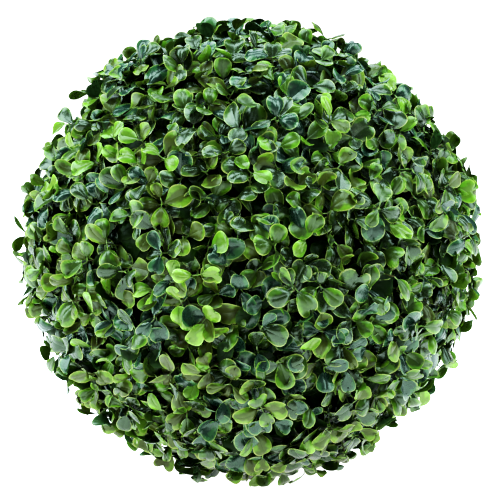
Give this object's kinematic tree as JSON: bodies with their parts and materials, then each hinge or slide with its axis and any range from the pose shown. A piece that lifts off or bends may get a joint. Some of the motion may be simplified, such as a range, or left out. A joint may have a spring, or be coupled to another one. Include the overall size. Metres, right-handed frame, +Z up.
{
  "type": "artificial box topiary ball",
  "caption": "Round clipped ball of moulded box leaves in two half shells on a short hidden stem with a flat foot.",
  "frame": {"origin": "middle of the flat cut at the foot of the stem, on level ground", "axes": "+Z up along the stem, -Y towards the side that the picture shows, +X to its right"},
  "size_m": [0.3759, 0.3753, 0.378],
  "materials": {
    "leaf": "moulded polyethylene leaves, glossy, in dark, middle and young green with pale rims",
    "stem": "moulded with a fine bark relief, matt brown"
  },
  "bodies": {
    "root": {"stem": "stem", "foliage_lower_half": "leaf", "foliage_upper_half": "leaf"}
  },
  "joints": []
}
